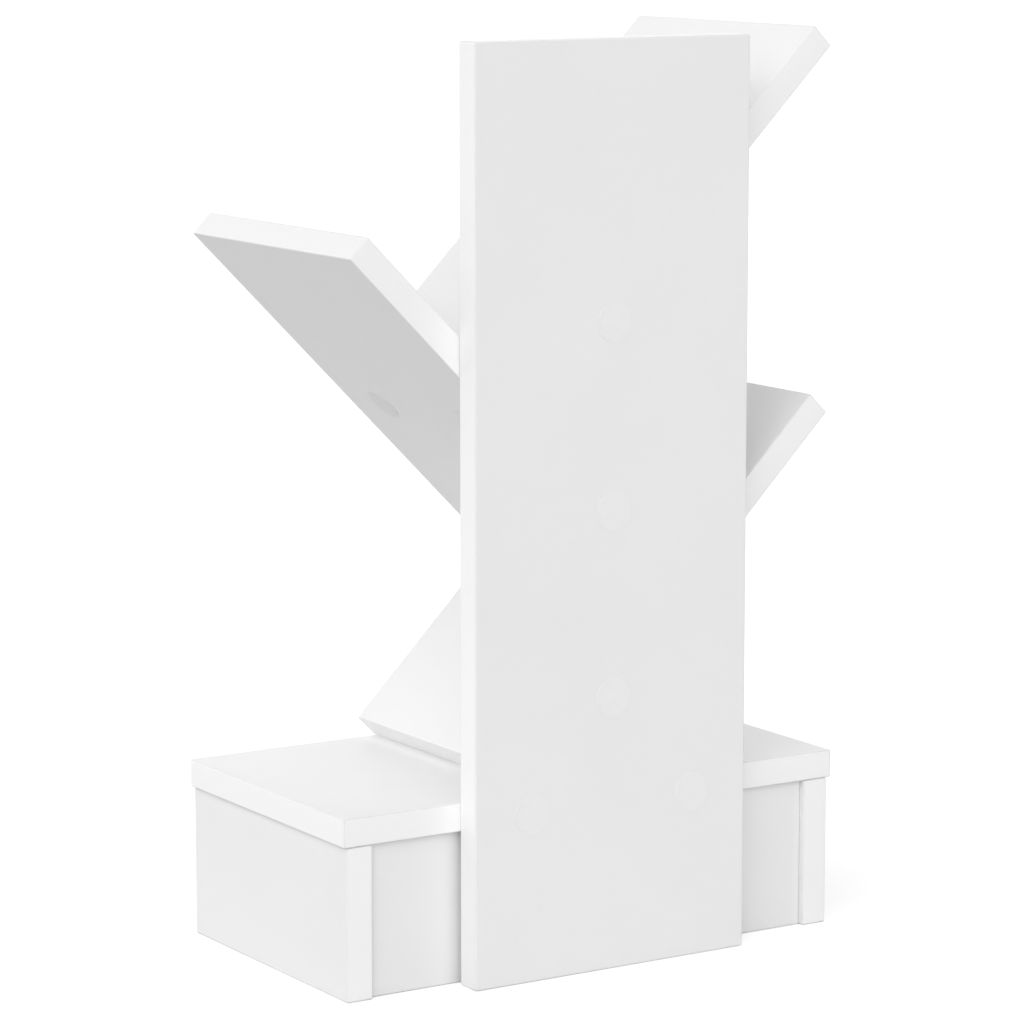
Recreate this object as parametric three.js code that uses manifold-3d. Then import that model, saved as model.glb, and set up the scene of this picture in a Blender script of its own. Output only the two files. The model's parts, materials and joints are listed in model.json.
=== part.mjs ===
// A small bookshelf shaped like a tree, for a desk. Millimetres, +Z up, origin on the desk under its middle.
// The trunk stands at the back (+Y), the drawer opens to the front (-Y), and +X is to the user's right.

import * as THREE from "three";
import { mergeVertices } from "three/addons/utils/BufferGeometryUtils.js";
import Module from "manifold-3d";

const wasm = await Module();
wasm.setup();

// Boards of coated chipboard
const boardThickness = 15;
const edgeRounding = 0.8; // along both rims of every board
const cornerRounding = 1.2; // at the four corners of a board's outline
const edgeSteps = 2;

// Trunk and branches
const trunkWidth = 167;
const trunkHeight = 483.5;
const branchLength = 261;
const branchFootLength = 61; // from a branch's foot to the screw that holds it to the trunk
const branchNames = ["lower", "middle", "upper"];
const branchDowelOffset = 32; // up the branch from that screw
const footScrewInset = 39; // in from a branch's front and back edges
const seatGap = 0.3; // between a branch and the faces that it rests on
const rightAngle = Math.PI / 2;
const branchLean = rightAngle / 2; // two branches meet at a right angle, so a square foot lies flat

// Base
const baseTopLength = 304;
const baseTopDepth = 165;
const baseHeight = 96;
const topEndOverhang = 2; // of the top past the sides, at both ends
const topOverhang = 1; // and in front and behind
const backPanelRecess = 3.5; // of the back panel, in from the back edges of the sides
const baseScrewInset = 34; // of the screws from the trunk into the base, in from the trunk's edges
const topCamInset = 32; // in from the front and back edges of the sides
const cornerCamShare = 1 / 3; // place of the cam along the end of the back panel and the bottom
const cornerDowelShare = 2 / 3; // place of the dowel there

// Drawer
const drawerBoardThickness = 12;
const drawerPanelThickness = 3; // the bottom panel, which slides into grooves
const drawerGap = 2; // round the drawer's front, and beside its sides
const drawerTopRoom = 14; // over the drawer's sides
const drawerRunningGap = 0.3; // under the drawer, and behind it when it is shut
const drawerGrooveHeight = 8; // from the lower edge of a drawer side to the groove
const drawerGrooveDepth = 5;
const drawerBackInset = 8; // of the drawer's back, in from the rear ends of its sides
const drawerHousingDepth = 4; // how far the back's ends are let into the sides
const joineryClearance = 0.2;
const notchWidth = 76; // finger notch in the front's upper edge
const notchDepth = 13;
const notchSteps = 12;

// Connecting screws and their stick-on caps
const screwLength = 50;
const screwHeadRadius = 5;
const screwHeadRim = 1;
const screwShankRadius = 3.5;
const screwShankLength = 12;
const screwCoreRadius = 2.5;
const screwTipRadius = 1.2;
const screwTipLength = 3;
const screwSink = 0.5; // of the head below the board's face
const screwSocketRadius = 2.3; // to the corners of the hexagon
const screwSocketSides = 6;
const screwSocketDepth = 3;
const capRadius = 10;
const capThickness = 0.3;
const capRounding = 0.1;

// Dowels
const dowelRadius = 4;
const dowelLength = 30;
const dowelChamfer = 1;
const dowelInFace = 11; // the part of it in the board that it meets flat
const dowelEndClearance = 0.5;

// Cam fittings: a bolt in one board, caught by a cam in the end of the other
const camRadius = 7.3;
const camDistance = 24; // from the joint to the middle of the cam
const camSink = 0.2; // of the cam below the board's face
const camFloor = 1; // under the bolt's head
const camSlotSweep = 2.4; // radians that the cam turns to pull the bolt in
const camRecessLength = 8;
const camRecessWidth = 1.4;
const camRecessDepth = 1.2;
const boltThreadRadius = 2.5;
const boltThreadLength = 11;
const boltShankRadius = 3;
const boltNeckRadius = 2;
const boltNeckLength = 6;
const boltHeadRadius = 3.4;
const boltHeadLength = 3;
const boltHeadChamfer = 0.6;
const boltChannelRadius = 4;

// Drilling and rounding
const boreClearance = 0.2; // round every fastener
const overrun = 1; // of a cut past the face that it starts from
const boreSteps = 12;
const camSteps = 12;
const capSteps = 24;

// Finishes
const whiteBoard = { color: 0xf4f4f3, roughness: 0.5, metalness: 0 };
const whiteCap = { color: 0xf2f2f0, roughness: 0.4, metalness: 0 };
const hardboard = { color: 0xefeeec, roughness: 0.6, metalness: 0 };
const beech = { color: 0xd8b384, roughness: 0.8, metalness: 0 };
const screwSteel = { color: 0xb9bcc0, roughness: 0.35, metalness: 1 };
const castZinc = { color: 0xa5a8ab, roughness: 0.45, metalness: 1 };

// Directions
const right = new THREE.Vector3(1, 0, 0);
const left = new THREE.Vector3(-1, 0, 0);
const back = new THREE.Vector3(0, 1, 0);
const front = new THREE.Vector3(0, -1, 0);
const up = new THREE.Vector3(0, 0, 1);
const down = new THREE.Vector3(0, 0, -1);
const ends = [
  { side: "left", sign: -1, inward: right },
  { side: "right", sign: 1, inward: left },
];
const rows = [
  { row: "front", sign: -1 },
  { row: "back", sign: 1 },
];

// Places worked out from the sizes above
const overallDepth = capThickness + boardThickness + baseTopDepth;
const trunkBackY = overallDepth / 2 - capThickness;
const trunkMidY = trunkBackY - boardThickness / 2;
const trunkFrontY = trunkBackY - boardThickness;
const baseMidY = trunkFrontY - baseTopDepth / 2;

const branchDepth = baseTopDepth - seatGap; // level with the base's front
const branchMidY = trunkFrontY - seatGap - branchDepth / 2;
const footToScrew = branchFootLength + boardThickness / 2;
const lowestBranchZ = baseHeight + seatGap + footToScrew * Math.sin(branchLean);
const branchPitch = (footToScrew + seatGap) / Math.sin(branchLean);

const sideDepth = baseTopDepth - 2 * topOverhang;
const sideHeight = baseHeight - boardThickness;
const sideMidX = baseTopLength / 2 - topEndOverhang - boardThickness / 2;
const sideFrontY = baseMidY - sideDepth / 2;
const sideBackY = baseMidY + sideDepth / 2;
const innerWidth = baseTopLength - 2 * topEndOverhang - 2 * boardThickness;
const panelMidY = sideBackY - backPanelRecess - boardThickness / 2;
const panelFrontY = panelMidY - boardThickness / 2;
const bottomDepth = panelFrontY - sideFrontY;
const bottomMidY = sideFrontY + bottomDepth / 2;

const drawerWidth = innerWidth - 2 * drawerGap;
const drawerFrontHeight = sideHeight - boardThickness - 2 * drawerGap;
const drawerFrontBackY = sideFrontY + boardThickness;
const drawerBackY = panelFrontY - drawerRunningGap;
const drawerSideLength = drawerBackY - drawerFrontBackY;
const drawerSideX = drawerWidth / 2 - drawerBoardThickness / 2;
const drawerLowZ = boardThickness + drawerRunningGap;
const drawerHighZ = sideHeight - drawerTopRoom;
const drawerPanelZ = drawerLowZ + drawerGrooveHeight;
const drawerPanelTopZ = drawerPanelZ + drawerPanelThickness;

// Solids

function toSolid(geometry) {
  const bare = geometry.clone();
  bare.deleteAttribute("normal");
  bare.deleteAttribute("uv");
  const merged = mergeVertices(bare);
  const triVerts = new Uint32Array(merged.index.array);
  const vertProperties = merged.attributes.position.array;
  return new wasm.Manifold(new wasm.Mesh({ numProp: 3, vertProperties, triVerts }));
}

function toGeometry(solid) {
  const mesh = solid.getMesh();
  const geometry = new THREE.BufferGeometry();
  geometry.setAttribute("position", new THREE.BufferAttribute(mesh.vertProperties, 3));
  geometry.setIndex(new THREE.BufferAttribute(mesh.triVerts, 1));
  geometry.computeVertexNormals();
  return geometry;
}

// A solid turned about Z from its silhouette, a list of [radius, z] from low to high.
function revolve(silhouette, steps) {
  const low = [0, silhouette[0][1]];
  const high = [0, silhouette.at(-1)[1]];
  const points = [low, ...silhouette, high].map(([radius, z]) => new THREE.Vector2(radius, z));
  return new THREE.LatheGeometry(points, steps).rotateX(rightAngle);
}

function cylinder(radius, lowZ, highZ, steps) {
  return revolve([[radius, lowZ], [radius, highZ]], steps);
}

function block(width, depth, height, x, y, z) {
  return new THREE.BoxGeometry(width, depth, height).translate(x, y, z);
}

// Points of an arc, both ends included.
function arc(x, y, radius, fromAngle, toAngle, steps) {
  return Array.from({ length: steps + 1 }, (_, i) => {
    const angle = fromAngle + ((toAngle - fromAngle) * i) / steps;
    return new THREE.Vector2(x + radius * Math.cos(angle), y + radius * Math.sin(angle));
  });
}

// A rectangle with rounded corners. Notch points, if any, break its upper side, from right to left.
function boardOutline(length, width, notch = []) {
  const x = length / 2 - cornerRounding;
  const y = width / 2 - cornerRounding;
  return [
    ...arc(x, -y, cornerRounding, -rightAngle, 0, edgeSteps),
    ...arc(x, y, cornerRounding, 0, rightAngle, edgeSteps),
    ...notch,
    ...arc(-x, y, cornerRounding, rightAngle, 2 * rightAngle, edgeSteps),
    ...arc(-x, -y, cornerRounding, 2 * rightAngle, 3 * rightAngle, edgeSteps),
  ];
}

// A slab with rounded rims, centred, its thickness along Z.
function slab(outline, thickness) {
  const depth = thickness - 2 * edgeRounding;
  const rim = { bevelSize: edgeRounding, bevelThickness: edgeRounding, bevelOffset: -edgeRounding };
  const settings = { depth, bevelEnabled: true, bevelSegments: edgeSteps, ...rim };
  return new THREE.ExtrudeGeometry(new THREE.Shape(outline), settings).translate(0, 0, -depth / 2);
}

// Placing: +X, +Y and +Z of a piece turn to the three given directions.
function placed(start, alongX, alongY) {
  const alongZ = new THREE.Vector3().crossVectors(alongX, alongY);
  return new THREE.Matrix4().makeBasis(alongX, alongY, alongZ).setPosition(start);
}

const at = (x, y, z) => new THREE.Vector3(x, y, z);
const lying = (x, y, z) => placed(at(x, y, z), right, back);
const facingBack = (x, y, z) => placed(at(x, y, z), left, up);
const facingSideways = (x, y, z) => placed(at(x, y, z), back, up);

// The place of a fastener that starts at a point and runs along way, with its +X turned to facing.
function site(start, way, facing) {
  return placed(start, facing, new THREE.Vector3().crossVectors(way, facing));
}

function addPart(group, name, geometry, finish, place) {
  const part = new THREE.Mesh(geometry, new THREE.MeshStandardMaterial(finish));
  part.name = name;
  group.updateWorldMatrix(true, false);
  part.applyMatrix4(group.matrixWorld.clone().invert().multiply(place));
  group.add(part);
}

// A board, cut by solids that are already where they belong in the whole shelf.
function addBoard(group, name, geometry, place, cutters, finish = whiteBoard) {
  const toBoard = place.clone().invert().elements;
  const cuts = cutters.map((cutter) => cutter.transform(toBoard));
  const solid = cuts.reduce((rest, cut) => rest.subtract(cut), toSolid(geometry));
  addPart(group, name, toGeometry(solid), finish, place);
}

const cutterAt = (geometry, place) => toSolid(geometry).transform(place.elements);

// Connecting screw, its bore through both boards, and the cap over its head

const screwSilhouette = [
  [screwHeadRadius, screwSink],
  [screwHeadRadius, screwSink + screwHeadRim],
  [screwShankRadius, screwSink + screwHeadRim + screwHeadRadius - screwShankRadius],
  [screwShankRadius, screwShankLength],
  [screwCoreRadius, screwShankLength],
  [screwCoreRadius, screwLength - screwTipLength],
  [screwTipRadius, screwLength],
];

function screwGeometry() {
  const mouth = screwSink - overrun;
  const floor = screwSink + screwSocketDepth;
  const socket = cylinder(screwSocketRadius, mouth, floor, screwSocketSides);
  return toGeometry(toSolid(revolve(screwSilhouette, boreSteps)).subtract(toSolid(socket)));
}

function screwBore(place) {
  const wider = screwSilhouette.map(([radius, z]) => [radius + boreClearance, z]);
  const mouth = [screwHeadRadius + boreClearance, -overrun];
  const end = [screwTipRadius + boreClearance, screwLength + boreClearance];
  return cutterAt(revolve([mouth, ...wider, end], boreSteps), place);
}

function capGeometry() {
  const silhouette = [
    [capRadius - capRounding, -capThickness],
    [capRadius, capRounding - capThickness],
    [capRadius, 0],
  ];
  return revolve(silhouette, capSteps);
}

// Screws a board to the one behind it. The cap stands off a turned board by seatGap at most.
function addScrew(group, screwName, capName, place, capLift = 0) {
  addPart(group, screwName, screwGeometry(), screwSteel, place);
  const capPlace = place.clone().multiply(new THREE.Matrix4().makeTranslation(0, 0, -capLift));
  addPart(group, capName, capGeometry(), whiteCap, capPlace);
}

// Dowel and its bore

function dowelGeometry() {
  const low = -dowelInFace;
  const high = dowelLength - dowelInFace;
  const silhouette = [
    [dowelRadius - dowelChamfer, low],
    [dowelRadius, low + dowelChamfer],
    [dowelRadius, high - dowelChamfer],
    [dowelRadius - dowelChamfer, high],
  ];
  return revolve(silhouette, boreSteps);
}

function dowelBore(place) {
  const low = -dowelInFace - dowelEndClearance;
  const high = dowelLength - dowelInFace + dowelEndClearance;
  return cutterAt(cylinder(dowelRadius + boreClearance, low, high, boreSteps), place);
}

// Cam fitting: +Z runs from the joint into the board that holds the cam, and the cam's recess faces +X

const camDepth = (thickness) => thickness / 2 + boltHeadRadius + camFloor;

function boltGeometry() {
  const headLow = camDistance - boltHeadLength / 2;
  const headHigh = camDistance + boltHeadLength / 2;
  const silhouette = [
    [boltThreadRadius, -boltThreadLength],
    [boltThreadRadius, 0],
    [boltShankRadius, 0],
    [boltShankRadius, headLow - boltNeckLength],
    [boltNeckRadius, headLow - boltNeckLength],
    [boltNeckRadius, headLow],
    [boltHeadRadius, headLow],
    [boltHeadRadius, headHigh - boltHeadChamfer],
    [boltHeadRadius - boltHeadChamfer, headHigh],
  ];
  return revolve(silhouette, boreSteps);
}

// A disc across X, its axis on the middle of the cam, between two distances from the bolt's axis.
function camDisc(radius, lowX, highX) {
  return cylinder(radius, lowX, highX, camSteps).rotateY(rightAngle).translate(0, 0, camDistance);
}

// The slot that the bolt's neck runs through while the cam turns.
function camSlot() {
  const width = 2 * (boltNeckRadius + boreClearance);
  const reach = camRadius + overrun;
  const sector = arc(0, 0, reach, -rightAngle, camSlotSweep - rightAngle, camSteps / 2);
  const shape = new THREE.Shape([new THREE.Vector2(0, 0), ...sector]);
  const slot = new THREE.ExtrudeGeometry(shape, { depth: width, bevelEnabled: false });
  const upright = slot.translate(0, 0, -width / 2).rotateY(rightAngle).rotateX(rightAngle);
  return upright.translate(0, 0, camDistance);
}

function camGeometry(thickness) {
  const faceX = thickness / 2 - camSink;
  const headRoom = boltHeadRadius + boreClearance;
  const rimZ = camDistance - camRadius - overrun;
  const cuts = [
    cylinder(headRoom, rimZ, camDistance, boreSteps),
    camDisc(headRoom + boltHeadChamfer, -headRoom, headRoom),
    camSlot(),
    block(camRecessDepth * 2, camRecessLength, camRecessWidth, faceX, 0, camDistance),
    block(camRecessDepth * 2, camRecessWidth, camRecessLength, faceX, 0, camDistance),
  ];
  const disc = toSolid(camDisc(camRadius, faceX + camSink - camDepth(thickness), faceX));
  return toGeometry(cuts.reduce((rest, cut) => rest.subtract(toSolid(cut)), disc));
}

// In the cam's board: a pocket for the cam and a channel for the bolt.
function camBores(place, thickness) {
  const deepX = thickness / 2 - camDepth(thickness) - boreClearance;
  const pocket = camDisc(camRadius + boreClearance, deepX, thickness / 2 + overrun);
  const channel = cylinder(boltChannelRadius, -overrun, camDistance, boreSteps);
  return [cutterAt(pocket, place), cutterAt(channel, place)];
}

// In the other board: the hole for the bolt's thread.
function boltBore(place) {
  const deepZ = -boltThreadLength - boreClearance;
  return cutterAt(cylinder(boltThreadRadius + boreClearance, deepZ, overrun, boreSteps), place);
}

function addCamFitting(group, boltName, camName, place, thickness = boardThickness) {
  addPart(group, boltName, boltGeometry(), screwSteel, place);
  addPart(group, camName, camGeometry(thickness), castZinc, place);
}

// Branches: a branch's own frame starts at its trunk screw, with +X up the branch and +Y to the back

const branches = branchNames.map((name, i) => {
  const sign = i % 2 === 0 ? -1 : 1; // the branches lean left, right, left
  const way = at(sign * Math.cos(branchLean), 0, Math.sin(branchLean));
  const height = lowestBranchZ + i * branchPitch;
  const along = (distance, y) => at(0, y, height).addScaledVector(way, distance);
  return { name, way, height, along };
});

const trunkScrewSites = branches.map(({ along }) => {
  return site(along(0, trunkBackY), front, right);
});
const trunkDowelSites = branches.map(({ along }) => {
  return site(along(branchDowelOffset, trunkFrontY), front, right);
});
const footScrewStart = -branchFootLength - seatGap - boardThickness;
const footScrewSites = branches.map(({ way, along }) =>
  rows.map(({ sign }) => {
    const y = branchMidY + sign * (branchDepth / 2 - footScrewInset);
    return site(along(footScrewStart, y), way, back);
  }),
);
footScrewSites[0] = []; // the lowest branch's foot rests on the base with nothing through it

const baseScrewSites = ends.map(({ sign }) => {
  const x = sign * (trunkWidth / 2 - baseScrewInset);
  return site(at(x, trunkBackY, baseHeight - boardThickness / 2), front, right);
});

function addTrunk(group) {
  const screws = [...trunkScrewSites, ...baseScrewSites].map(screwBore);
  const outline = boardOutline(trunkWidth, trunkHeight);
  const place = facingBack(0, trunkMidY, trunkHeight / 2);
  addBoard(group, "trunk_panel", slab(outline, boardThickness), place, [
    ...screws,
    ...trunkDowelSites.map(dowelBore),
  ]);
}

function addBranch(group, i) {
  const { name, way, along } = branches[i];
  const board = slab(boardOutline(branchLength, branchDepth), boardThickness);
  const place = placed(along(branchLength / 2 - branchFootLength, branchMidY), way, back);
  const ownScrews = [trunkScrewSites[i], ...footScrewSites[i]];
  const nextFootScrews = footScrewSites[i + 1] ?? [];
  addBoard(group, `${name}_branch`, board, place, [
    ...ownScrews.map(screwBore),
    ...nextFootScrews.map(screwBore),
    dowelBore(trunkDowelSites[i]),
  ]);
}

function addBranchFasteners(group, i) {
  const { name } = branches[i];
  addScrew(group, `${name}_trunk_screw`, `${name}_trunk_cap`, trunkScrewSites[i]);
  addPart(group, `${name}_trunk_dowel`, dowelGeometry(), beech, trunkDowelSites[i]);
  footScrewSites[i].forEach((place, k) => {
    const { row } = rows[k];
    addScrew(group, `${name}_foot_screw_${row}`, `${name}_foot_cap_${row}`, place, seatGap / 2);
  });
}

// Base

const topCamSites = ends.map(({ sign, inward }) =>
  rows.map(({ sign: rowSign }) => {
    const y = baseMidY + rowSign * (sideDepth / 2 - topCamInset);
    return site(at(sign * sideMidX, y, sideHeight), down, inward);
  }),
);
const panelCamSites = ends.map(({ sign, inward }) =>
  site(at((sign * innerWidth) / 2, panelMidY, sideHeight * cornerCamShare), inward, front),
);
const panelDowelSites = ends.map(({ sign, inward }) =>
  site(at((sign * innerWidth) / 2, panelMidY, sideHeight * cornerDowelShare), inward, front),
);
const bottomCamSites = ends.map(({ sign, inward }) => {
  const y = sideFrontY + bottomDepth * cornerCamShare;
  return site(at((sign * innerWidth) / 2, y, boardThickness / 2), inward, down);
});
const bottomDowelSites = ends.map(({ sign, inward }) => {
  const y = sideFrontY + bottomDepth * cornerDowelShare;
  return site(at((sign * innerWidth) / 2, y, boardThickness / 2), inward, down);
});

function addBaseBoards(group) {
  const top = slab(boardOutline(baseTopLength, baseTopDepth), boardThickness);
  const topPlace = lying(0, baseMidY, baseHeight - boardThickness / 2);
  addBoard(group, "base_top", top, topPlace, [
    ...baseScrewSites.map(screwBore),
    ...topCamSites.flat().map(boltBore),
  ]);
  for (const [i, { side, sign }] of ends.entries()) {
    const board = slab(boardOutline(sideDepth, sideHeight), boardThickness);
    const place = facingSideways(sign * sideMidX, baseMidY, sideHeight / 2);
    addBoard(group, `base_side_${side}`, board, place, [
      ...topCamSites[i].flatMap((camSite) => camBores(camSite, boardThickness)),
      boltBore(panelCamSites[i]),
      boltBore(bottomCamSites[i]),
      dowelBore(panelDowelSites[i]),
      dowelBore(bottomDowelSites[i]),
    ]);
  }
  const panel = slab(boardOutline(innerWidth, sideHeight), boardThickness);
  addBoard(group, "base_back_panel", panel, facingBack(0, panelMidY, sideHeight / 2), [
    ...panelCamSites.flatMap((camSite) => camBores(camSite, boardThickness)),
    ...panelDowelSites.map(dowelBore),
  ]);
  const bottom = slab(boardOutline(innerWidth, bottomDepth), boardThickness);
  addBoard(group, "base_bottom", bottom, lying(0, bottomMidY, boardThickness / 2), [
    ...bottomCamSites.flatMap((camSite) => camBores(camSite, boardThickness)),
    ...bottomDowelSites.map(dowelBore),
  ]);
}

function addBaseFasteners(group) {
  for (const [i, { side }] of ends.entries()) {
    addScrew(group, `base_trunk_screw_${side}`, `base_trunk_cap_${side}`, baseScrewSites[i]);
    for (const [k, { row }] of rows.entries()) {
      addCamFitting(group, `top_bolt_${side}_${row}`, `top_cam_${side}_${row}`, topCamSites[i][k]);
    }
    addCamFitting(group, `panel_bolt_${side}`, `panel_cam_${side}`, panelCamSites[i]);
    addPart(group, `panel_dowel_${side}`, dowelGeometry(), beech, panelDowelSites[i]);
    addCamFitting(group, `bottom_bolt_${side}`, `bottom_cam_${side}`, bottomCamSites[i]);
    addPart(group, `bottom_dowel_${side}`, dowelGeometry(), beech, bottomDowelSites[i]);
  }
}

// Drawer

const drawerPanelWidth = drawerWidth - 2 * drawerBoardThickness + 2 * drawerGrooveDepth;
const drawerPanelDepth = drawerSideLength + drawerGrooveDepth;
const drawerPanelMidY = drawerBackY - drawerPanelDepth / 2;
const drawerPanelMidZ = drawerPanelZ + drawerPanelThickness / 2;
const drawerBackWidth = drawerWidth - 2 * drawerBoardThickness + 2 * drawerHousingDepth;
const drawerBackLowZ = drawerPanelTopZ + joineryClearance;
const drawerBackHeight = drawerHighZ - drawerBackLowZ;
const drawerBackMidY = drawerBackY - drawerBackInset - drawerBoardThickness / 2;
const drawerCamZ = (drawerPanelTopZ + drawerHighZ) / 2;
const drawerCamSites = ends.map(({ sign, inward }) =>
  site(at(sign * drawerSideX, drawerFrontBackY, drawerCamZ), back, inward),
);

// The bottom panel's own box with its clearance, which grooves whatever it slides into.
function panelGroove() {
  const room = 2 * joineryClearance;
  const size = [drawerPanelWidth + room, drawerPanelDepth + room, drawerPanelThickness + room];
  return toSolid(block(...size, 0, drawerPanelMidY, drawerPanelMidZ));
}

// The drawer back's own box with its clearance, open upwards.
function backHousing() {
  const room = 2 * joineryClearance;
  const lowZ = drawerBackLowZ - joineryClearance;
  const height = drawerHighZ + overrun - lowZ;
  const size = [drawerBackWidth + room, drawerBoardThickness + room, height];
  return toSolid(block(...size, 0, drawerBackMidY, lowZ + height / 2));
}

// A shallow arc that dips below the front's upper edge, drawn from right to left.
function fingerNotch(topY) {
  const radius = (notchWidth ** 2 / 4 + notchDepth ** 2) / (2 * notchDepth);
  const halfAngle = Math.asin(notchWidth / 2 / radius);
  const middle = -rightAngle;
  return arc(0, topY - notchDepth + radius, radius, middle + halfAngle, middle - halfAngle, notchSteps);
}

function addDrawer(group) {
  const notch = fingerNotch(drawerFrontHeight / 2);
  const frontBoard = slab(boardOutline(drawerWidth, drawerFrontHeight, notch), boardThickness);
  const frontPlace = facingBack(0, sideFrontY + boardThickness / 2, (boardThickness + sideHeight) / 2);
  const frontBores = drawerCamSites.map(boltBore);
  addBoard(group, "drawer_front", frontBoard, frontPlace, [panelGroove(), ...frontBores]);

  const sideHigh = drawerHighZ - drawerLowZ;
  const sideMidY = drawerBackY - drawerSideLength / 2;
  for (const [i, { side, sign }] of ends.entries()) {
    const board = slab(boardOutline(drawerSideLength, sideHigh), drawerBoardThickness);
    const place = facingSideways(sign * drawerSideX, sideMidY, drawerLowZ + sideHigh / 2);
    const cams = camBores(drawerCamSites[i], drawerBoardThickness);
    addBoard(group, `drawer_side_${side}`, board, place, [panelGroove(), backHousing(), ...cams]);
    const names = [`drawer_bolt_${side}`, `drawer_cam_${side}`];
    addCamFitting(group, ...names, drawerCamSites[i], drawerBoardThickness);
  }

  const backBoard = slab(boardOutline(drawerBackWidth, drawerBackHeight), drawerBoardThickness);
  const backPlace = facingBack(0, drawerBackMidY, drawerBackLowZ + drawerBackHeight / 2);
  addBoard(group, "drawer_back", backBoard, backPlace, []);

  const panel = block(drawerPanelWidth, drawerPanelDepth, drawerPanelThickness, 0, 0, 0);
  addPart(group, "drawer_bottom", panel, hardboard, lying(0, drawerPanelMidY, drawerPanelMidZ));
}

// Assembly

const bookshelf = new THREE.Group();

const base = new THREE.Group();
bookshelf.add(base);
addBaseBoards(base);
addBaseFasteners(base);

const tree = new THREE.Group();
bookshelf.add(tree);
addTrunk(tree);
for (const [i, { way, height }] of branches.entries()) {
  const branch = new THREE.Group();
  branch.applyMatrix4(placed(at(0, branchMidY, height), way, back));
  tree.add(branch);
  addBranch(branch, i);
  addBranchFasteners(branch, i);
}

const drawer = new THREE.Group();
drawer.position.set(0, drawerFrontBackY, drawerLowZ);
bookshelf.add(drawer);
addDrawer(drawer);

export default bookshelf;
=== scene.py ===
import json
import math

import bpy
from mathutils import Matrix, Vector


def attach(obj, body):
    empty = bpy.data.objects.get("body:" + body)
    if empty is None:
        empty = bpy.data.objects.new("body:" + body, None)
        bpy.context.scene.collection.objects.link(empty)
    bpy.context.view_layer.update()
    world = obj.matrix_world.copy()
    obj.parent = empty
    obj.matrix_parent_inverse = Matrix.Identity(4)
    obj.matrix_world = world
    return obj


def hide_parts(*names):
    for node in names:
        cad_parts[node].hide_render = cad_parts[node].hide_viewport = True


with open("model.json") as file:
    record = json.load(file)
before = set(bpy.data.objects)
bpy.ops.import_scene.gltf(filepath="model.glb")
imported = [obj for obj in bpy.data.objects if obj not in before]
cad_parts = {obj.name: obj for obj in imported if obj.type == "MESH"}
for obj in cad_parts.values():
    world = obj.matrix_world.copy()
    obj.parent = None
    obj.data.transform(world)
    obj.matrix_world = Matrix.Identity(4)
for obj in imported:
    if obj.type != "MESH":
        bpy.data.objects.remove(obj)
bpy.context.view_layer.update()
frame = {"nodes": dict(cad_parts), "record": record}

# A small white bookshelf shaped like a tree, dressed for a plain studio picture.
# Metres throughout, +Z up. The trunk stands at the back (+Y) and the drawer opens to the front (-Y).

MM = 0.001
NODES = frame["nodes"]
SLOTS = {row["node"]: row["material_slot"] for row in frame["record"]["subparts"]}
ROOT, DRAWER = "shelf", "drawer"
SIDES = ("left", "right")
ROWS = ("front", "back")
LEAN = math.sqrt(0.5)
RIGHT = Vector((1, 0, 0))
LEFT = Vector((-1, 0, 0))
BACK = Vector((0, 1, 0))
FRONT = Vector((0, -1, 0))
UP = Vector((0, 0, 1))
DOWN = Vector((0, 0, -1))
UP_RIGHT = Vector((LEAN, 0, LEAN))
UP_LEFT = Vector((-LEAN, 0, LEAN))
BRANCH_WAYS = {"lower": UP_LEFT, "middle": UP_RIGHT, "upper": UP_LEFT}
FOOT_BOARDS = {"middle": "lower_branch", "upper": "middle_branch"}

# Camera, close to the photograph's viewpoint: degrees, metres, and millimetres for the lens.
# The photograph's camera was level with a shifted lens. This one has no shift and looks down a little.
CAMERA_AZIMUTH = 147.72
CAMERA_PITCH = 9.24
CAMERA_PLACE = Vector((1.1438, 1.8029, 0.5766))
CAMERA_LENS = 143.0
SENSOR = 36

# Light: the azimuth and elevation that each lamp shines from, in degrees, and its strength
SUNS = {
    "back": (180, 20, 0.67),
    "corner": (135, 30, 1.32),
    "right": (90, 45, 0.47),
    "front right": (45, 30, 0.7),
    "front left": (315, 30, 0.25),
    "left": (270, 20, 0.74),
}
SUN_WIDTH = 50
SKY_STRENGTH = 0.3
SEEN_SKY_STRENGTH = 1
WHITE = (1, 1, 1)
FLOOR_SIZE = 120
FLOOR_COLOUR = (0.6, 0.6, 0.6)
FLOOR_GLOW = 0.55

# Finishes. A noise has a scale, a detail and a roughness, and a bump has a depth and a strength.
# A gloss runs from the roughness of a surface's smoothest spots to that of its dullest.
# A reach is the part of a noise's range, or of the range from edge-on to square, that a mix runs over.
NOISE_REACH = (0.3, 0.7)
CLOUD_REACH = (0.35, 0.65)
CLOUD_SHADE = 0.985

# Greys of one white melamine. Level boards are painted lighter and branches darker than the panels:
# painted light and shade for how the lamps fall on each.
PANEL_GREYS = {"face": 0.865, "band": 0.94, "upper band painted shade": 0.85}
# The upper band grey is a painted shade on bands that face up.
LEVEL_GREYS_PAINTED_LIGHTER = {"face": 0.885, "band": 0.94, "upper band painted shade": 0.85}
BRANCH_GREYS_PAINTED_DARKER = {"face": 0.842, "band": 0.93, "upper band painted shade": 0.84}
BOARD = {
    "cloud": (14, 3, 0.5),
    "fleck": (420, 2, 0.5),
    "fleck shade": 0.97,
    "fleck mix": (0, 0.25),
    "pearl": (1400, 2, 0.5),
    "pearl bump": (0.02 * MM, 0.3),
    "face gloss": (0.4, 0.48),
    "band waves": (60, 2, 0.5),
    "band gloss": (0.34, 0.4),
    # The arris grey is a painted shade on the rounded edges, against the lamps' highlight there.
    "painted arris shade": 0.79,
    "arris roughness": 0.7,
    "glue colour": (0.6, 0.59, 0.57),
    "glue share": 0.35,
    "flat reach": (0.85, 0.985),
    "face reach": (0.955, 0.985),
    "glue starts": (0.97, 0.99),
    "glue ends": (0.99, 0.998),
    "upward reach": (0.5, 0.65),
}
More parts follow.
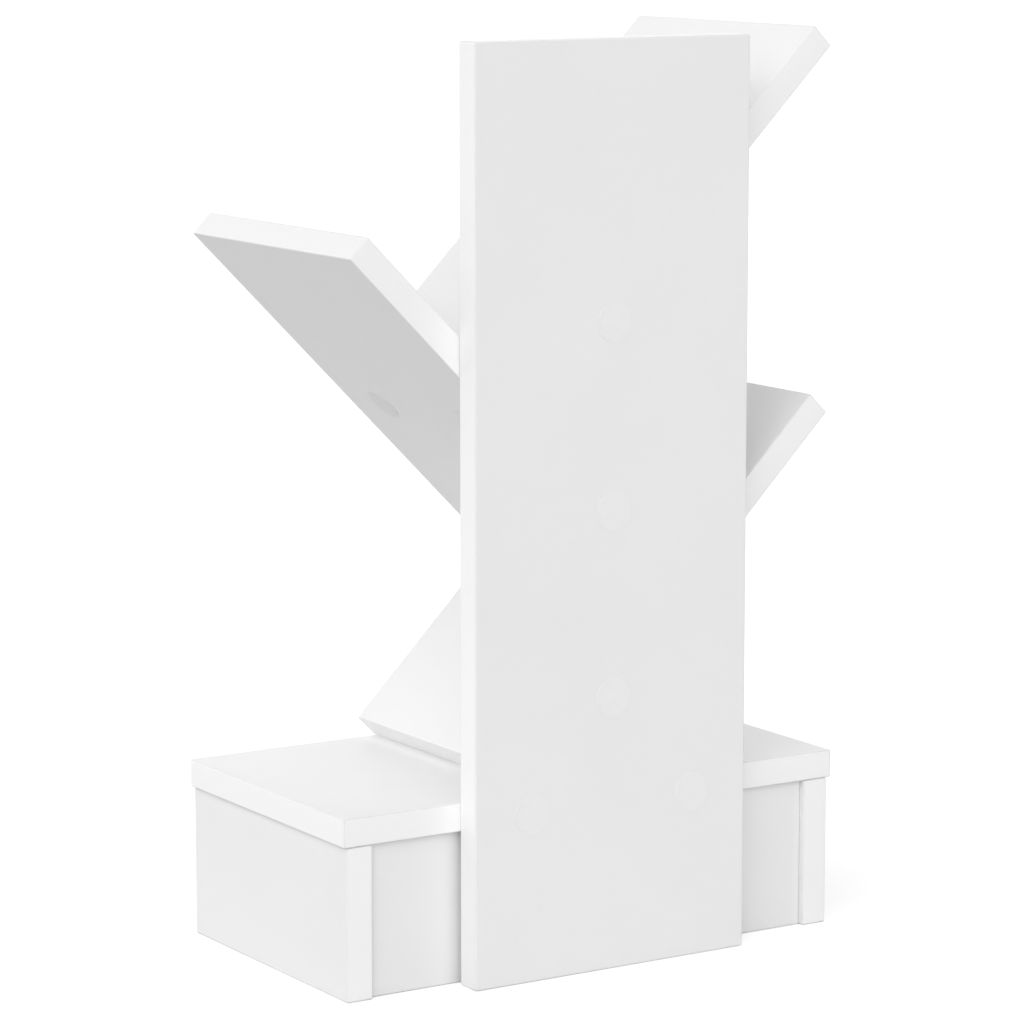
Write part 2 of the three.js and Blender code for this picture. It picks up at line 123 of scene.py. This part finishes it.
CAP = {
    "white": (0.888, 0.888, 0.888),
    "cloud": (160, 2, 0.5),
    # The rim shade is a painted shade on the cap's cut edge, against the lamps' highlight there.
    "painted rim shade": 0.88,
    "flat reach": (0.8, 0.99),
    "peel": (2200, 2, 0.5),
    "peel bump": (0.02 * MM, 0.4),
    "gloss": (0.58, 0.68),
    "sheen": 0,
}
ZINC_PLATE = {
    "tones": ((0.72, 0.73, 0.75), (0.74, 0.72, 0.66)),
    "patches": (180, 3, 0.6),
    "grain": (2400, 3, 0.6),
    "grain bump": (0.02 * MM, 0.5),
    "gloss": (0.28, 0.42),
}
CAST_ZINC = {
    "tones": ((0.62, 0.63, 0.64), (0.5, 0.51, 0.52)),
    "patches": (260, 3, 0.6),
    "grain": (1500, 3, 0.6),
    "grain bump": (0.06 * MM, 0.5),
    "gloss": (0.42, 0.6),
}
BEECH = {
    "pale": (0.83, 0.67, 0.48),
    "dark": (0.66, 0.47, 0.3),
    "grain": (700, 4, 0.6),
    "grain stretch": (1, 1, 0.06),
    "grain bump": (0.05 * MM, 0.5),
    "fleck": (1500, 1, 0.5),
    "fleck stretch": (1, 1, 0.2),
    "fleck reach": (0.62, 0.7),
    "fleck mix": (0, 0.6),
    "fleck shade": 0.75,
    "gloss": (0.7, 0.85),
}
HARDBOARD = {
    "lacquer": (0.87, 0.87, 0.86),
    "cloud": (30, 3, 0.5),
    "cloud shade": 0.975,
    "fibre": (900, 4, 0.65),
    "fibre stretch": (1, 0.4, 1),
    "fibre bump": (0.06 * MM, 0.5),
    "gloss": (0.52, 0.66),
}
SMOOTH_ANGLE = math.radians(50)
WELD_DISTANCE = 0.001 * MM
FLAT_FACE_WEIGHT = 100

# Boards by the way that their thickness runs: greys, painted lighter for level boards and darker for
# branches for how the lamps fall on them, three axes with the thickness first, and nodes
BOARDS = {
    "across": (
        PANEL_GREYS,
        (RIGHT, BACK, UP),
        ("base_side_left", "base_side_right", "drawer_side_left", "drawer_side_right"),
    ),
    "upright": (
        PANEL_GREYS,
        (BACK, RIGHT, UP),
        ("trunk_panel", "base_back_panel", "drawer_front", "drawer_back"),
    ),
    "level": (LEVEL_GREYS_PAINTED_LIGHTER, (UP, RIGHT, BACK), ("base_top", "base_bottom")),
    "leaning_left": (BRANCH_GREYS_PAINTED_DARKER, (UP_RIGHT, UP_LEFT, BACK), ("lower_branch", "upper_branch")),
    "leaning_right": (BRANCH_GREYS_PAINTED_DARKER, (UP_LEFT, UP_RIGHT, BACK), ("middle_branch",)),
}

# Turned pieces, in millimetres
TURN_STEPS = 32
EDGE = 0.3
CAP_STEPS = 64
CROWN_SHARES = (0.25, 0.5, 0.75, 0.9, 1)
CROWNS_IN_CAP_THICKNESS = 6
SCREW_SINK = 0.5
SCREW_RIM = 1.0
SCREW_HEAD_RADIUS = 5.0
SCREW_SHANK_RADIUS = 3.5
SCREW_SHANK_END = 12.0
SCREW_TIP_RADIUS = 1.0
SCREW_TIP_LENGTH = 3.0
SOCKET_RADIUS = 2.3
SOCKET_DEPTH = 3.0
SOCKET_CHAMFER = 0.25
THREAD_CREST = 2.6
THREAD_ROOT = 1.9
THREAD_ROWS = 8
SCREW_PITCH = 3.0
BOLT_PITCH = 1.6
BOLT_THREAD_LENGTH = 11.0
BOLT_SHANK_RADIUS = 3.0
BOLT_NECK_RADIUS = 2.0
BOLT_NECK_LENGTH = 6.0
BOLT_HEAD_RADIUS = 3.4
BOLT_HEAD_LENGTH = 3.0
DOWEL_FLUTES = 16
STEPS_PER_FLUTE = 4
FLUTE_DEPTH = 0.25
DOWEL_CHAMFER = 1.0


# Node trees

def new_material(name):
    """A material with its node tree and its shader."""
    material = bpy.data.materials.new(name)
    material.use_nodes = True
    tree = material.node_tree
    return material, tree, tree.nodes["Principled BSDF"]


def feed(tree, node, inputs):
    """Gives each listed input of a node another node's output, a number, a direction or a colour."""
    for key, value in inputs.items():
        socket = node.inputs[key]
        if isinstance(value, bpy.types.NodeSocket):
            tree.links.new(value, socket)
        elif socket.type == "RGBA":
            socket.default_value = (*value, 1)
        else:
            socket.default_value = value


def add(tree, kind, inputs=None, **settings):
    node = tree.nodes.new(kind)
    for key, value in settings.items():
        setattr(node, key, value)
    feed(tree, node, inputs or {})
    return node


def coordinates(tree, kind):
    return add(tree, "ShaderNodeTexCoord").outputs[kind]


def noise(tree, place, settings):
    scale, detail, roughness = settings
    inputs = {"Vector": place, "Scale": scale, "Detail": detail, "Roughness": roughness}
    return add(tree, "ShaderNodeTexNoise", inputs).outputs["Fac"]


def stretched(tree, place, factors):
    return add(tree, "ShaderNodeMapping", {"Vector": place, "Scale": factors}).outputs["Vector"]


def remap(tree, value, reach, target=(0, 1), smooth=False):
    """A number that runs over the target range while the value runs over its reach."""
    inputs = {
        "Value": value,
        "From Min": reach[0],
        "From Max": reach[1],
        "To Min": target[0],
        "To Max": target[1],
    }
    kind = "SMOOTHSTEP" if smooth else "LINEAR"
    return add(tree, "ShaderNodeMapRange", inputs, interpolation_type=kind).outputs["Result"]


def math_node(tree, operation, *values):
    return add(tree, "ShaderNodeMath", dict(enumerate(values)), operation=operation).outputs[0]


# A mix node has sockets of its own for numbers and for colours, which are told apart by their places.

def blended(tree, factor, number_a, number_b):
    inputs = {"Factor": factor, 2: number_a, 3: number_b}
    return add(tree, "ShaderNodeMix", inputs).outputs[0]


def mixed(tree, factor, colour_a, colour_b):
    inputs = {"Factor": factor, 6: colour_a, 7: colour_b}
    return add(tree, "ShaderNodeMix", inputs, data_type="RGBA").outputs[2]


def bump(tree, height, settings):
    depth, strength = settings
    inputs = {"Strength": strength, "Distance": depth, "Height": height}
    return add(tree, "ShaderNodeBump", inputs).outputs["Normal"]


def squarely(tree, normal, way):
    """1 where a surface is square to a direction, falling to 0 where it lies along it."""
    product = add(tree, "ShaderNodeVectorMath", {0: normal, 1: way}, operation="DOT_PRODUCT")
    return math_node(tree, "ABSOLUTE", product.outputs["Value"])


def upward(tree, normal):
    """The normal's height: 1 on a surface that faces up, -1 on one that faces down."""
    return add(tree, "ShaderNodeSeparateXYZ", {0: normal}).outputs["Z"]


def grey(level):
    return (level, level, level)


def darker(colour, share):
    return tuple(share * channel for channel in colour)


# Finishes

def board_material(name, greys, axes):
    """Satin melamine faces, brighter edge bands with a painted shade where they face up, and rougher
    arrises with a painted shade on them.

    A hairline of glue runs where a band meets a face.
    """
    material, tree, shader = new_material(name)
    place = coordinates(tree, "Object")
    normal = coordinates(tree, "Normal")
    across, *along = (squarely(tree, normal, axis) for axis in axes)
    flatness = across
    for squareness in along:
        flatness = math_node(tree, "MAXIMUM", flatness, squareness)
    is_flat = remap(tree, flatness, BOARD["flat reach"])
    is_face = remap(tree, across, BOARD["face reach"], smooth=True)

    cloud = remap(tree, noise(tree, place, BOARD["cloud"]), CLOUD_REACH)
    face = mixed(tree, cloud, grey(CLOUD_SHADE * greys["face"]), grey(greys["face"]))
    fleck = remap(tree, noise(tree, place, BOARD["fleck"]), NOISE_REACH, BOARD["fleck mix"])
    speckled = mixed(tree, fleck, face, grey(BOARD["fleck shade"] * greys["face"]))

    # Bands that face up are given a painted shade.
    faces_up = remap(tree, upward(tree, normal), BOARD["upward reach"])
    band = mixed(tree, faces_up, grey(greys["band"]), grey(greys["upper band painted shade"]))
    board = mixed(tree, is_face, band, speckled)

    glue_starts = remap(tree, across, BOARD["glue starts"], smooth=True)
    glue_ends = remap(tree, across, BOARD["glue ends"], (1, 0), smooth=True)
    seam = math_node(tree, "MULTIPLY", glue_starts, glue_ends)
    glue = math_node(tree, "MULTIPLY", seam, BOARD["glue share"])
    lined = mixed(tree, glue, board, BOARD["glue colour"])

    pearl = noise(tree, place, BOARD["pearl"])
    face_gloss = remap(tree, pearl, NOISE_REACH, BOARD["face gloss"])
    band_gloss = remap(tree, noise(tree, place, BOARD["band waves"]), NOISE_REACH, BOARD["band gloss"])
    gloss = blended(tree, is_face, band_gloss, face_gloss)
    feed(tree, shader, {
        # The arrises get a painted shade: a darker grey against the lamps' highlight.
        "Base Color": mixed(tree, is_flat, grey(BOARD["painted arris shade"]), lined),
        "Roughness": blended(tree, is_flat, BOARD["arris roughness"], gloss),
        "Normal": bump(tree, math_node(tree, "MULTIPLY", pearl, is_face), BOARD["pearl bump"]),
    })
    return material


def cap_material():
    """Matt stick-on film with a fine orange peel, and a painted shade on its cut edge against the
    lamps' highlight there. A cap's axis is its own Z.
    """
    material, tree, shader = new_material("cap_film")
    place = coordinates(tree, "Object")
    flatness = math_node(tree, "ABSOLUTE", upward(tree, coordinates(tree, "Normal")))
    cloud = remap(tree, noise(tree, place, CAP["cloud"]), NOISE_REACH)
    film = mixed(tree, cloud, CAP["white"], darker(CAP["white"], CLOUD_SHADE))
    # The cut edge gets a painted shade against the lamps' highlight on it.
    rim = darker(CAP["white"], CAP["painted rim shade"])
    peel = noise(tree, place, CAP["peel"])
    feed(tree, shader, {
        "Base Color": mixed(tree, remap(tree, flatness, CAP["flat reach"]), rim, film),
        "Roughness": remap(tree, peel, NOISE_REACH, CAP["gloss"]),
        "Specular IOR Level": CAP["sheen"],
        "Normal": bump(tree, peel, CAP["peel bump"]),
    })
    return material


def metal_material(name, metal):
    """Bare metal: two tones in patches, and a grain that roughens and dents it."""
    material, tree, shader = new_material(name)
    place = coordinates(tree, "Object")
    patches = remap(tree, noise(tree, place, metal["patches"]), CLOUD_REACH)
    grain = noise(tree, place, metal["grain"])
    feed(tree, shader, {
        "Base Color": mixed(tree, patches, *metal["tones"]),
        "Roughness": remap(tree, grain, NOISE_REACH, metal["gloss"]),
        "Metallic": 1,
        "Normal": bump(tree, grain, metal["grain bump"]),
    })
    return material


def beech_material():
    """Beech with its grain along the dowel and the short dark flecks of that wood."""
    material, tree, shader = new_material("beech")
    place = coordinates(tree, "Object")
    grain = noise(tree, stretched(tree, place, BEECH["grain stretch"]), BEECH["grain"])
    wood = mixed(tree, remap(tree, grain, NOISE_REACH), BEECH["pale"], BEECH["dark"])
    fleck = noise(tree, stretched(tree, place, BEECH["fleck stretch"]), BEECH["fleck"])
    flecks = remap(tree, fleck, BEECH["fleck reach"], BEECH["fleck mix"])
    feed(tree, shader, {
        "Base Color": mixed(tree, flecks, wood, darker(BEECH["dark"], BEECH["fleck shade"])),
        "Roughness": remap(tree, grain, NOISE_REACH, BEECH["gloss"]),
        "Normal": bump(tree, grain, BEECH["grain bump"]),
    })
    return material


def hardboard_material():
    """White lacquer over pressed fibre, which still shows a little."""
    material, tree, shader = new_material("lacquered_hardboard")
    place = coordinates(tree, "Object")
    cloud = remap(tree, noise(tree, place, HARDBOARD["cloud"]), CLOUD_REACH)
    shaded = darker(HARDBOARD["lacquer"], HARDBOARD["cloud shade"])
    fibre = noise(tree, stretched(tree, place, HARDBOARD["fibre stretch"]), HARDBOARD["fibre"])
    feed(tree, shader, {
        "Base Color": mixed(tree, cloud, HARDBOARD["lacquer"], shaded),
        "Roughness": remap(tree, fibre, NOISE_REACH, HARDBOARD["gloss"]),
        "Normal": bump(tree, fibre, HARDBOARD["fibre bump"]),
    })
    return material


# Finishing the CAD pieces

def dress(name, material):
    """Gives a CAD node its material, and joins its triangles so that only its corners stay sharp."""
    piece = NODES[name]
    piece.data.shade_smooth()
    piece.modifiers.new("weld", "WELD").merge_threshold = WELD_DISTANCE
    piece.modifiers.new("corners", "EDGE_SPLIT").split_angle = SMOOTH_ANGLE
    piece.modifiers.new("flat faces", "WEIGHTED_NORMAL").weight = FLAT_FACE_WEIGHT
    for material_slot in piece.material_slots:
        material_slot.material = material


def finish_boards():
    for key, (greys, axes, names) in BOARDS.items():
        material = board_material(f"white_board_{key}", greys, axes)
        for name in names:
            dress(name, material)


def finish_small_parts(by_slot):
    for name, slot in SLOTS.items():
        if slot in by_slot:
            dress(name, by_slot[slot])


# Turned pieces, made about their own Z axis, which starts where the CAD node's axis starts

def reach_along(node, way):
    """The lowest and highest place of a CAD node's points along a direction."""
    places = [vertex.co.dot(way) for vertex in NODES[node].data.vertices]
    return min(places), max(places)


def length_along(node, way):
    """A CAD node's length along a direction, in millimetres."""
    low, high = reach_along(node, way)
    return (high - low) / MM


def seat(node, way, facing):
    """The place of a turned CAD node: Z along way, X to facing, and the origin at the axis's start."""
    across = way.cross(facing)
    place = Matrix((facing, across, way)).transposed().to_4x4()
    middle_x = sum(reach_along(node, facing)) / 2
    middle_y = sum(reach_along(node, across)) / 2
    start, _ = reach_along(node, way)
    place.translation = facing * middle_x + across * middle_y + way * start
    return place


def ring(radius, z, steps):
    """Points round the axis. The radius is a number or a function of the angle and the height."""
    points = []
    for i in range(steps):
        angle = 2 * math.pi * i / steps
        r = radius(angle, z) if callable(radius) else radius
        points.append(Vector((r * math.cos(angle), r * math.sin(angle), z)) * MM)
    return points


def turned_mesh(name, rings, material, steps=TURN_STEPS):
    """A closed skin over rings, given as (radius, z), with a flat face over the first and the last."""
    points = [point for radius, z in rings for point in ring(radius, z, steps)]
    faces = [tuple(reversed(range(steps)))]
    for k in range(len(rings) - 1):
        low, high = k * steps, (k + 1) * steps
        for i in range(steps):
            j = (i + 1) % steps
            faces.append((low + i, low + j, high + j, high + i))
    last = (len(rings) - 1) * steps
    faces.append(tuple(range(last, last + steps)))
    mesh = bpy.data.meshes.new(name)
    mesh.from_pydata(points, [], faces)
    mesh.shade_smooth()
    mesh.set_sharp_from_angle(angle=SMOOTH_ANGLE)
    mesh.materials.append(material)
    return mesh


def add_turned(mesh, node, body, way, facing, shift=0):
    """A finer piece in the place of a turned CAD node, which may be shifted along its axis."""
    piece = bpy.data.objects.new(f"{node}_turned", mesh)
    place = seat(node, way, facing)
    place.translation += shift * way
    piece.matrix_world = place
    bpy.context.scene.collection.objects.link(piece)
    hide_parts(node)
    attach(piece, body)


def hexagon(radius):
    """A radius that traces a hexagon, given its radius to the corners."""
    sixth = math.pi / 3

    def at(angle, z):
        return radius * math.cos(sixth / 2) / math.cos(angle % sixth - sixth / 2)

    return at


def thread(pitch):
    """A radius that winds round the axis as a thread, whose crest takes half of each pitch."""

    def at(angle, z):
        turn = (z / pitch - angle / (2 * math.pi)) % 1
        return THREAD_ROOT + (THREAD_CREST - THREAD_ROOT) * max(0, 1 - 4 * abs(turn - 0.5))

    return at


def threaded(low, high, pitch):
    """Rings of a thread between two heights, which stops short of both."""
    count = round((high - low) / pitch * THREAD_ROWS)
    heights = [low + (high - low) * i / count for i in range(1, count)]
    return [(THREAD_ROOT, low), *((thread(pitch), z) for z in heights), (THREAD_ROOT, high)]


def cap_mesh(film):
    """A stick-on cap: a slight crown on its outer side, a cut edge, and a flat side on the board."""
    thickness = length_along("middle_trunk_cap", FRONT)
    radius = length_along("middle_trunk_cap", RIGHT) / 2
    crown = thickness / CROWNS_IN_CAP_THICKNESS
    rings = [(share * radius, crown * share ** 2) for share in CROWN_SHARES]
    rings.append((radius, thickness))
    return turned_mesh("cap", rings, film, CAP_STEPS)


def screw_mesh(steel):
    """A connecting screw: hexagon socket, countersunk head, plain shank, coarse thread and tip."""
    length = length_along("middle_trunk_screw", FRONT)
    shank_start = SCREW_RIM + SCREW_HEAD_RADIUS - SCREW_SHANK_RADIUS
    shank_end = SCREW_SHANK_END - SCREW_SINK
    rings = [
        (hexagon(SOCKET_RADIUS), SOCKET_DEPTH),
        (hexagon(SOCKET_RADIUS), SOCKET_CHAMFER),
        (SOCKET_RADIUS + SOCKET_CHAMFER, 0),
        (SCREW_HEAD_RADIUS - EDGE, 0),
        (SCREW_HEAD_RADIUS, EDGE),
        (SCREW_HEAD_RADIUS, SCREW_RIM),
        (SCREW_SHANK_RADIUS, shank_start),
        (SCREW_SHANK_RADIUS, shank_end - EDGE),
        (SCREW_SHANK_RADIUS - EDGE, shank_end),
        *threaded(shank_end, length - SCREW_TIP_LENGTH, SCREW_PITCH),
        (SCREW_TIP_RADIUS, length),
    ]
    return turned_mesh("connecting_screw", rings, steel)


def bolt_mesh(steel):
    """A cam bolt from its thread, over a shank and a neck, to the head that the cam catches."""
    length = length_along("panel_bolt_left", RIGHT)
    head = length - BOLT_HEAD_LENGTH
    neck = head - BOLT_NECK_LENGTH
    rings = [
        (THREAD_ROOT - EDGE, 0),
        *threaded(EDGE, BOLT_THREAD_LENGTH, BOLT_PITCH),
        (BOLT_SHANK_RADIUS - EDGE, BOLT_THREAD_LENGTH),
        (BOLT_SHANK_RADIUS, BOLT_THREAD_LENGTH + EDGE),
        (BOLT_SHANK_RADIUS, neck - EDGE),
        (BOLT_NECK_RADIUS, neck),
        (BOLT_NECK_RADIUS, head),
        (BOLT_HEAD_RADIUS - EDGE, head),
        (BOLT_HEAD_RADIUS, head + EDGE),
        (BOLT_HEAD_RADIUS, length - 2 * EDGE),
        (BOLT_HEAD_RADIUS - 2 * EDGE, length),
    ]
    return turned_mesh("cam_bolt", rings, steel)


def dowel_mesh(beech):
    """A fluted dowel with chamfered ends."""
    length = length_along("middle_trunk_dowel", FRONT)
    radius = length_along("middle_trunk_dowel", RIGHT) / 2

    def fluted(angle, z):
        return radius - FLUTE_DEPTH * max(0, math.cos(DOWEL_FLUTES * angle)) ** 2

    rings = [
        (radius - DOWEL_CHAMFER, 0),
        (fluted, DOWEL_CHAMFER),
        (fluted, length - DOWEL_CHAMFER),
        (radius - DOWEL_CHAMFER, length),
    ]
    return turned_mesh("fluted_dowel", rings, beech, STEPS_PER_FLUTE * DOWEL_FLUTES)


def screw_places():
    """Each screw and its cap: the two ends of their names, the screw's way, a facing and the board.

    They run to the front through the trunk, or up a branch through the board below it.
    """
    for branch in BRANCH_WAYS:
        yield f"{branch}_trunk", "", FRONT, RIGHT, "trunk_panel"
    for side in SIDES:
        yield "base_trunk", f"_{side}", FRONT, RIGHT, "trunk_panel"
    for branch, board in FOOT_BOARDS.items():
        for row in ROWS:
            yield f"{branch}_foot", f"_{row}", BRANCH_WAYS[branch], BACK, board


def add_screws_and_caps(screw, cap):
    """The caps are shifted so that they lie on the board, which the CAD's caps stand a little off."""
    for start, end, way, facing, board in screw_places():
        cap_node = f"{start}_cap{end}"
        add_turned(screw, f"{start}_screw{end}", ROOT, way, facing)
        face, _ = reach_along(board, way)
        _, cap_end = reach_along(cap_node, way)
        add_turned(cap, cap_node, ROOT, way, facing, face - cap_end)


def add_bolts_and_dowels(bolt, dowel):
    for side, way in zip(SIDES, (RIGHT, LEFT)):
        for row in ROWS:
            add_turned(bolt, f"top_bolt_{side}_{row}", ROOT, DOWN, RIGHT)
        for board in ("panel", "bottom"):
            add_turned(bolt, f"{board}_bolt_{side}", ROOT, way, UP)
            add_turned(dowel, f"{board}_dowel_{side}", ROOT, way, UP)
        add_turned(bolt, f"drawer_bolt_{side}", DRAWER, BACK, UP)
    for branch in BRANCH_WAYS:
        add_turned(dowel, f"{branch}_trunk_dowel", ROOT, FRONT, RIGHT)


# Stage, light and camera

def seen_rays(tree):
    """1 for what the camera, a gloss or a glass looks at, 0 for light that only shines on things."""
    path = add(tree, "ShaderNodeLightPath").outputs
    direct = math_node(tree, "MAXIMUM", path["Is Camera Ray"], path["Is Glossy Ray"])
    return math_node(tree, "MAXIMUM", direct, path["Is Transmission Ray"])


def floor_material():
    material, tree, shader = new_material("floor_white")
    feed(tree, shader, {
        "Base Color": FLOOR_COLOUR,
        "Roughness": 1,
        "Specular IOR Level": 0,
        "Emission Color": WHITE,
        "Emission Strength": math_node(tree, "MULTIPLY", seen_rays(tree), FLOOR_GLOW),
    })
    return material


def make_floor():
    mesh = bpy.data.meshes.new("floor")
    half = FLOOR_SIZE / 2
    corners = [(-half, -half, 0), (half, -half, 0), (half, half, 0), (-half, half, 0)]
    mesh.from_pydata(corners, [], [(0, 1, 2, 3)])
    mesh.materials.append(floor_material())
    floor = bpy.data.objects.new("floor", mesh)
    bpy.context.scene.collection.objects.link(floor)


def make_sky():
    """White surroundings that are seen brighter than they shine."""
    world = bpy.data.worlds.new("studio")
    world.use_nodes = True
    tree = world.node_tree
    strength = remap(tree, seen_rays(tree), (0, 1), (SKY_STRENGTH, SEEN_SKY_STRENGTH))
    feed(tree, tree.nodes["Background"], {"Color": WHITE, "Strength": strength})
    bpy.context.scene.world = world


def way_from(azimuth, elevation):
    """Unit vector towards a viewer or a lamp: azimuth 0 is in front (-Y), 90 is to the right (+X)."""
    a, e = math.radians(azimuth), math.radians(elevation)
    return Vector((math.sin(a) * math.cos(e), -math.cos(a) * math.cos(e), math.sin(e)))


def aimed_from(azimuth, elevation):
    """The rotation of a lamp or a camera that looks back from a direction."""
    return way_from(azimuth, elevation).to_track_quat("Z", "Y").to_euler()


def make_suns():
    for name, (azimuth, elevation, strength) in SUNS.items():
        lamp = bpy.data.lights.new(name, "SUN")
        lamp.energy = strength
        lamp.angle = math.radians(SUN_WIDTH)
        holder = bpy.data.objects.new(name, lamp)
        holder.rotation_euler = aimed_from(azimuth, elevation)
        bpy.context.scene.collection.objects.link(holder)


def make_camera():
    lens = bpy.data.cameras.new("camera")
    lens.lens = CAMERA_LENS
    lens.sensor_width = SENSOR
    camera = bpy.data.objects.new("camera", lens)
    camera.location = CAMERA_PLACE
    camera.rotation_euler = aimed_from(CAMERA_AZIMUTH, CAMERA_PITCH)
    bpy.context.scene.collection.objects.link(camera)
    bpy.context.scene.camera = camera


steel = metal_material("zinc_plated_steel", ZINC_PLATE)
zinc = metal_material("cast_zinc", CAST_ZINC)
finish_boards()
finish_small_parts({"cast_zinc": zinc, "white_hardboard": hardboard_material()})
add_screws_and_caps(screw_mesh(steel), cap_mesh(cap_material()))
add_bolts_and_dowels(bolt_mesh(steel), dowel_mesh(beech_material()))
make_floor()
make_sky()
make_suns()
make_camera()
bpy.context.scene.view_settings.view_transform = "Standard"
